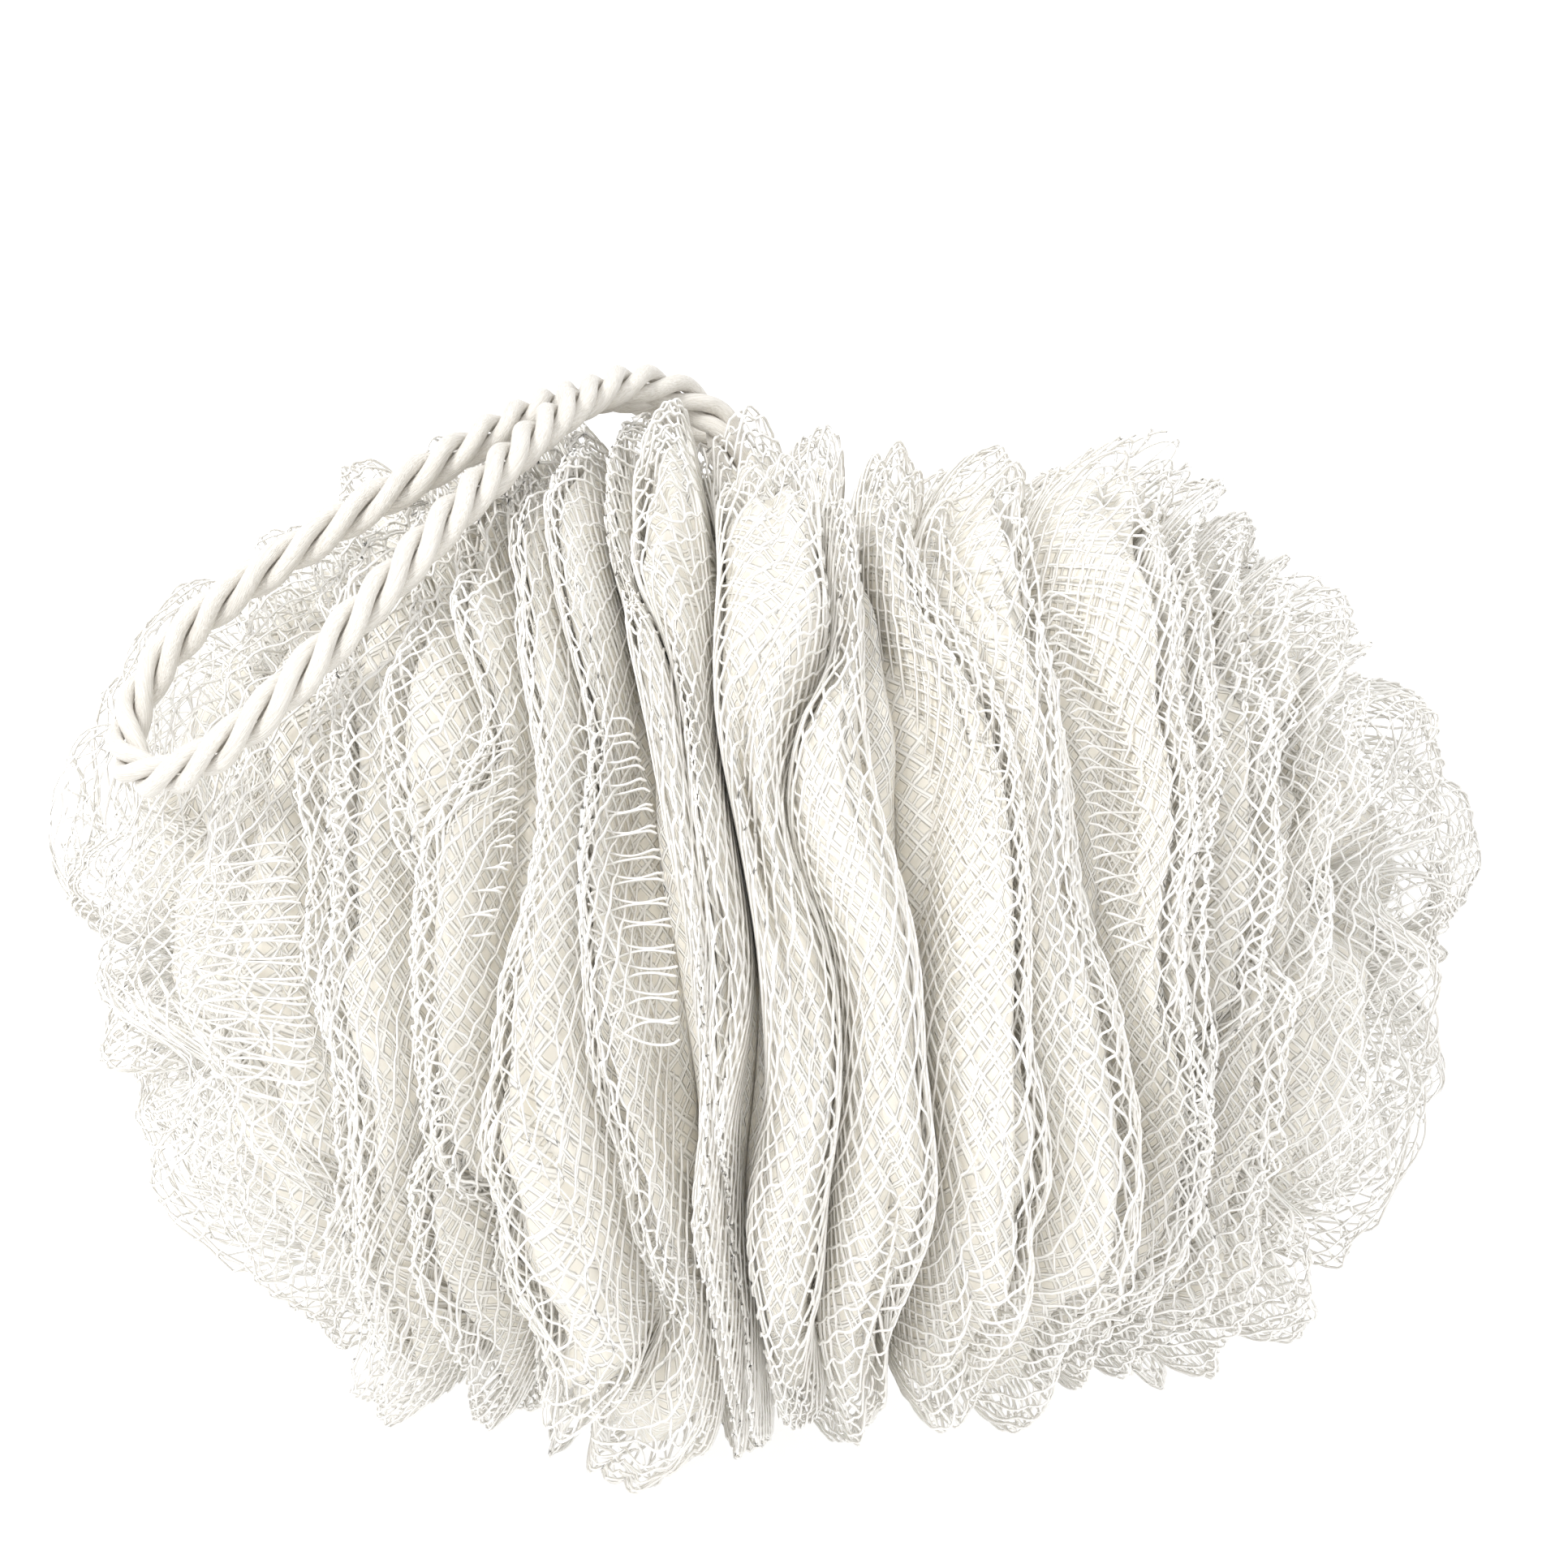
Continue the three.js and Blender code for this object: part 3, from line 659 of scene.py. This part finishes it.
def strands_on(g, count, cell, thick, seed):
    """Two families of crossing filaments on a grid surface, both running mostly along the crest."""
    r = np.random.RandomState(seed)
    rows = g.shape[0]
    nrm = grid_normals(g)
    s = arc_rows(g)
    dens = np.cumsum(1 + 0.22 * np.clip(noise(3, 9, r), -1.6, 1.6))
    dens = np.concatenate([[0], dens]) / dens[-1]
    V, Q, base = [], [], 0
    for fam in (1, -1):
        i = np.arange(count) + (0.5 if fam == 1 else 0.0) + r.uniform(-0.07, 0.07, count)
        u0 = i[:, None] / count + fam * (s[None] / cell) / count
        wav = 0.0010 * r.randn(count, 1) * np.sin(s[None] / 7 + r.uniform(0, 6, (count, 1)))
        # each filament bends back a little at every crossing, as knitted net does
        zig = 0.09 / count * np.sin(2 * math.pi * s[None] / cell) * fam
        u = (u0 + wav + zig) % 1.0
        phi = np.interp(u, dens, np.linspace(0, NPHI, NPHI + 1))
        i0 = np.floor(phi).astype(int)
        f = (phi - i0)[..., None]
        i0 %= NPHI
        i1 = (i0 + 1) % NPHI
        rowid = np.arange(rows)[None].repeat(count, 0)
        P = g[rowid, i0] * (1 - f) + g[rowid, i1] * f
        N = nrm[rowid, i0] * (1 - f) + nrm[rowid, i1] * f
        N /= np.maximum(np.linalg.norm(N, axis=-1, keepdims=True), 1e-9)
        rad = thick / 2 * (1 + 0.12 * r.randn(count, 1, 1)).clip(0.7, 1.4)
        vv, qq = tubes(P + N * (fam * thick * 0.42), N, rad)
        V.append(vv)
        Q.append(qq + base)
        base += len(vv)
    return np.vstack(V), np.vstack(Q)


def ply(g, count, cell, step):
    """One surface that carries the same net in its finish, for the plies behind the one in front."""
    g = np.roll(g[:, ::step], -(480 // step), axis=1)
    rows, cols = g.shape[:2]
    lay = np.zeros((rows, cols, 3))
    lay[..., 0] = np.arange(cols)[None] / cols * count
    lay[..., 1] = arc_rows(g)[:, None] / cell
    lay[..., 2] = 1.0
    i = np.arange(rows - 1)[:, None] * cols
    j = np.arange(cols)[None]
    j2 = (j + 1) % cols
    q = np.stack([i + j, i + j2, i + cols + j2, i + cols + j], -1).reshape(-1, 4)
    return g.reshape(-1, 3), q, lay.reshape(-1, 3)


# sheets that bridge an open valley, gathered into rungs: valley, from, to in degrees, half width, depth
LADDERS = [(3, 38, 64, 3.6, 3.6), (4, 38, 76, 3.9, 3.6), (7, 16, 66, 6.2, 3.6), (1, 50, 86, 7.0, 1.5)]


def ladder(valley, a0, a1, half, depth, seed, pitch=2.35):
    r = np.random.RandomState(seed)
    arc = math.radians(a1 - a0) * 50.0
    n = int(arc / pitch)
    t = np.linspace(-1, 1, 15)
    lines, norms = [], []
    for i in range(n):
        for fam in (-1, 1):
            a = a0 + (a1 - a0) * (i + 0.5 + r.uniform(-0.08, 0.08)) / n + fam * 1.1 * np.cos(t * math.pi / 2) + 0.9 * fam * t
            deg = a % 360
            xb = np.interp(deg, np.concatenate([DEG, [360]]), np.concatenate([bounds_x[valley], bounds_x[valley][:1]]))
            env = min(1.0, min(i + 1, n - i) / 4.0)
            w = half * (0.75 + 0.25 * env)
            x = xb + t * w
            reach = 0.925 * outline(x) - depth * (1 - np.abs(t) ** 2.2) * env - 1.5 - 2.2 * np.abs(t) ** 9
            ph = np.radians(a)
            lines.append(np.stack([x, -reach * np.sin(ph), ZC + reach * np.cos(ph)], 1))
            norms.append(np.stack([np.zeros(15), -np.sin(ph), np.cos(ph)], 1))
    vv, qq = tubes(np.array(lines), np.array(norms), 0.15)
    return vv, qq


COUNTS = [56, 70, 78, 82, 84, 84, 84, 84, 82, 78, 70, 56]
CELL = 2.35
ROWS = 80
nets = []
for k in range(12):
    count = COUNTS[k]
    V, Q, L, M, n0 = [], [], [], [], 0
    for layer in (0, 1):
        g = settle(clear(sector_grid(k, ROWS, 0.0, 100 + 7 * k + 50 * layer, petal=layer)))
        vv, qq = strands_on(g, count, CELL, 0.26 if k in (0, 1, 10, 11) else 0.29, 500 + k * 3 + layer)
        V.append(vv)
        Q.append(qq + n0)
        L.append(np.zeros((len(vv), 3)))
        M.append(np.zeros(len(qq), int))
        n0 += len(vv)
    for n_, item in enumerate(LADDERS):
        if item[0] == k:
            vv, qq = ladder(*item, seed=60 + n_)
            V.append(vv)
            Q.append(qq + n0)
            L.append(np.zeros((len(vv), 3)))
            M.append(np.zeros(len(qq), int))
            n0 += len(vv)
    # the second ply of each petal, and the plies deeper in the ruffle
    far_end = 0.05 if k in (0, 11) else 0.02 if k in (1, 10) else 0.0
    plies = [(sector_grid(k, 36, 0.07, 100 + 7 * k + 50 * layer, 0.055 + far_end + 0.035 * bell(150, 22) + 0.02 * bell(-20, 16),
                          petal=layer), 5) for layer in (0, 1)]
    plies.append((sector_grid(k, 24, -0.05, 900 + k, 0.17 + far_end + 0.02 * bell(150, 25), cap_from=0.86, rough=0.7,
                              opened=False, neck=0.2), 6))
    for g, step in plies:
        vv, qq, ll = ply(settle(clear(g)), count, CELL, step)
        V.append(vv)
        Q.append(qq + n0)
        L.append(ll)
        # material 1 for these plies: the net colours painted darker as the shade behind the front filaments
        M.append(np.ones(len(qq), int))
        n0 += len(vv)
    length = 6 - k if k < 6 else k - 5
    side = "left" if k < 6 else "right"
    ob = mesh_object(f"net_{length}_{side}", np.vstack(V), np.vstack(Q), NET_MAT, np.vstack(L))
    ob.data.materials.append(SHADED_PLY_MAT)
    ob.data.polygons.foreach_set("material_index", np.concatenate(M).astype(np.int32))
    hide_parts(f"net_length_{length}")
    nets.append(ob)
    print("net", ob.name, "triangles", 2 * sum(len(x) for x in Q))


# ------------------------------------------------------------------ which body each piece moves with
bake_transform(rope)
for ob in [turn, knot, binding, bknot, *tails, *nets]:
    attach(ob, "puff")


# ------------------------------------------------------------------ floor and light
def stage():
    me = bpy.data.meshes.new("floor")
    s = 3.0
    me.from_pydata([(-s, -s, 0), (s, -s, 0), (s, s, 0), (-s, s, 0)], [], [(0, 1, 2, 3)])
    floor = bpy.data.objects.new("floor", me)
    bpy.context.scene.collection.objects.link(floor)
    floor.location.z = -0.0001
    m, nt, p = material("floor_paper")
    p.inputs["Base Color"].default_value = (0.45, 0.45, 0.45, 1)
    p.inputs["Emission Color"].default_value = (1, 1, 1, 1)
    p.inputs["Emission Strength"].default_value = 0.75
    p.inputs["Roughness"].default_value = 0.9
    p.inputs["Specular IOR Level"].default_value = 0.1
    me.materials.append(m)
    w = bpy.data.worlds.new("world")
    bpy.context.scene.world = w
    w.use_nodes = True
    w.node_tree.nodes["Background"].inputs["Color"].default_value = (1, 1, 1, 1)
    w.node_tree.nodes["Background"].inputs["Strength"].default_value = 0.98

    def area(name, at, size, power, look=(0, 0, 0.055), colour=(1, 1, 1)):
        d = bpy.data.lights.new(name, "AREA")
        d.shape, d.size, d.energy, d.color = "DISK", size, power, colour
        o = bpy.data.objects.new(name, d)
        bpy.context.scene.collection.objects.link(o)
        o.location = at
        o.rotation_mode = "QUATERNION"
        o.rotation_quaternion = (Vector(look) - Vector(at)).to_track_quat("-Z", "Y")

    area("key", (-0.66, -0.58, 1.0), 0.40, 8.6)
    area("fill", (0.9, -0.9, 0.4), 0.8, 0.8)
    area("top", (0.0, 0.35, 1.2), 0.9, 2.5)


stage()
scene = bpy.context.scene
scene.view_settings.view_transform = "Standard"
scene.view_settings.look = "None"
scene.view_settings.exposure = 0.0
scene.cycles.max_bounces = 10
scene.cycles.diffuse_bounces = 9
scene.cycles.use_adaptive_sampling = True
